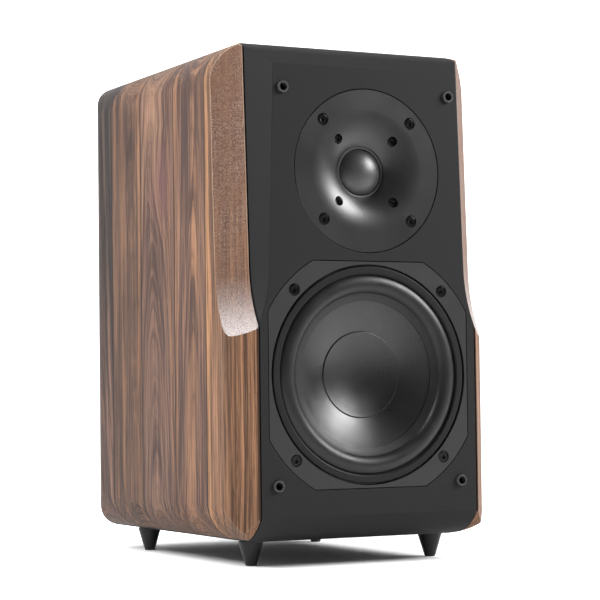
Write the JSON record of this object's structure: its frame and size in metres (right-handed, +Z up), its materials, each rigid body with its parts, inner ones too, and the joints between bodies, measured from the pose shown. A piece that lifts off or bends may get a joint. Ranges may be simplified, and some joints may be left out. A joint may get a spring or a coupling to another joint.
{
  "type": "bookshelf loudspeaker",
  "caption": "Two-way standmount loudspeaker with walnut stave sides, a scooped black baffle, horn-loaded dome, square-cut woofer, rear port and conical feet.",
  "frame": {"origin": "on the floor plane, under the middle of the cabinet's overall box", "axes": "+X to the right of someone facing the speaker, +Y from front to back, +Z up"},
  "size_m": [0.24, 0.3208, 0.427],
  "materials": {
    "walnut_rear": "dark grey-brown oiled walnut, satin",
    "walnut_tan": "tan striped oiled walnut, satin",
    "walnut_rose": "rosy cathedral-grained oiled walnut, satin",
    "walnut_streak": "tan oiled walnut with a dark streak, satin",
    "walnut_front": "golden brown oiled walnut, satin",
    "black_lacquer": "satin black lacquer on fibreboard",
    "inner_board": "bare fibreboard",
    "chassis_black": "cast alloy, fine satin black coating",
    "plate_black": "machined alloy, satin black coating",
    "rubber_black": "soft butyl rubber, satin",
    "cone_black": "coated black paper pulp, satin",
    "dome_black": "coated black woven dome, slightly glossy",
    "spider_cloth": "impregnated corrugated cloth",
    "former_film": "amber film",
    "copper_wire": "enamelled copper",
    "motor_steel": "zinc-plated steel",
    "ferrite": "dark sintered ferrite",
    "screw_black": "black oxide steel",
    "trim_black": "moulded black plastic, satin",
    "socket_black": "firm black rubber",
    "foam_black": "closed-cell foam",
    "wool_felt": "off-white wool felt",
    "foot_black": "turned steel, satin black",
    "zinc_steel": "zinc-plated steel",
    "post_gold": "gold-plated brass",
    "cap_red": "red moulded plastic",
    "cap_black": "black moulded plastic",
    "circuit_board": "green glass-fibre board",
    "capacitor_film": "yellow film sleeve",
    "resistor_white": "white ceramic body",
    "lead_black": "black insulated wire"
  },
  "bodies": {
    "cabinet": {"bottom_panel": "black_lacquer", "crossover_board": "circuit_board", "crossover_capacitors": "capacitor_film", "crossover_inductors": "copper_wire", "crossover_resistors": "resistor_white", "crossover_spacers": "trim_black", "feet": "foot_black", "foot_studs": "zinc_steel", "front_baffle": "black_lacquer", "grille_sockets": "socket_black", "input_leads": "lead_black", "left_side_stave_1": "walnut_front", "left_side_stave_2": "walnut_streak", "left_side_stave_3": "walnut_rose", "left_side_stave_4": "walnut_tan", "left_side_stave_5": "walnut_rear", "left_wool_pad": "wool_felt", "post_studs": "post_gold", "rear_panel": "black_lacquer", "reflex_port": "trim_black", "right_side_stave_1": "walnut_front", "right_side_stave_2": "walnut_streak", "right_side_stave_3": "walnut_rose", "right_side_stave_4": "walnut_tan", "right_side_stave_5": "walnut_rear", "right_wool_pad": "wool_felt", "terminal_cup": "trim_black", "terminal_screws": "screw_black", "top_panel": "black_lacquer", "top_wool_pad": "wool_felt", "tweeter_faceplate": "plate_black", "tweeter_leads": "lead_black", "tweeter_magnet": "ferrite", "tweeter_motor_screws": "screw_black", "tweeter_rear_chamber": "trim_black", "tweeter_screws": "screw_black", "tweeter_surround": "dome_black", "tweeter_top_plate": "motor_steel", "tweeter_yoke": "motor_steel", "window_brace": "inner_board", "woofer_basket": "chassis_black", "woofer_leads": "lead_black", "woofer_magnet": "ferrite", "woofer_screws": "screw_black", "woofer_seal": "foam_black", "woofer_spider": "spider_cloth", "woofer_surround": "rubber_black", "woofer_top_plate": "motor_steel", "woofer_trim_ring": "trim_black", "woofer_yoke": "motor_steel"},
    "woofer_diaphragm": {"woofer_cone": "cone_black", "woofer_dust_cap": "cone_black", "voice_coil_former": "former_film", "voice_coil_winding": "copper_wire"},
    "tweeter_diaphragm": {"tweeter_dome": "dome_black", "tweeter_voice_coil": "copper_wire"},
    "black_washer": {"black_post_washer": "post_gold"},
    "black_cap": {"black_post_cap": "cap_black"},
    "red_washer": {"red_post_washer": "post_gold"},
    "red_cap": {"red_post_cap": "cap_red"}
  },
  "joints": [
    {"name": "woofer_stroke", "type": "slide", "parent": "cabinet", "child": "woofer_diaphragm", "axis": [0, -1, 0], "range_m": [-0.006, 0.006], "stiffness_N_per_m": 1100, "deforming": ["woofer_surround", "woofer_spider"]},
    {"name": "tweeter_stroke", "type": "slide", "parent": "cabinet", "child": "tweeter_diaphragm", "axis": [0, -1, 0], "range_m": [-0.0006, 0.0006], "stiffness_N_per_m": 1500, "deforming": ["tweeter_surround"]},
    {"name": "black_washer_travel", "type": "slide", "parent": "cabinet", "child": "black_washer", "axis": [0, 1, 0], "range_m": [0, 0.004]},
    {"name": "black_cap_turn", "type": "hinge", "parent": "black_washer", "child": "black_cap", "pos_m": [-0.00953, 0.14, 0.112], "axis": [0, 1, 0], "range_deg": [0, 1440]},
    {"name": "red_washer_travel", "type": "slide", "parent": "cabinet", "child": "red_washer", "axis": [0, 1, 0], "range_m": [0, 0.004]},
    {"name": "red_cap_turn", "type": "hinge", "parent": "red_washer", "child": "red_cap", "pos_m": [0.00953, 0.14, 0.112], "axis": [0, 1, 0], "range_deg": [0, 1440]}
  ],
  "couplings": [
    {"joint": "black_cap_turn", "follows": "black_washer_travel", "rad_per_m": 6283.1},
    {"joint": "red_cap_turn", "follows": "red_washer_travel", "rad_per_m": 6283.1}
  ]
}
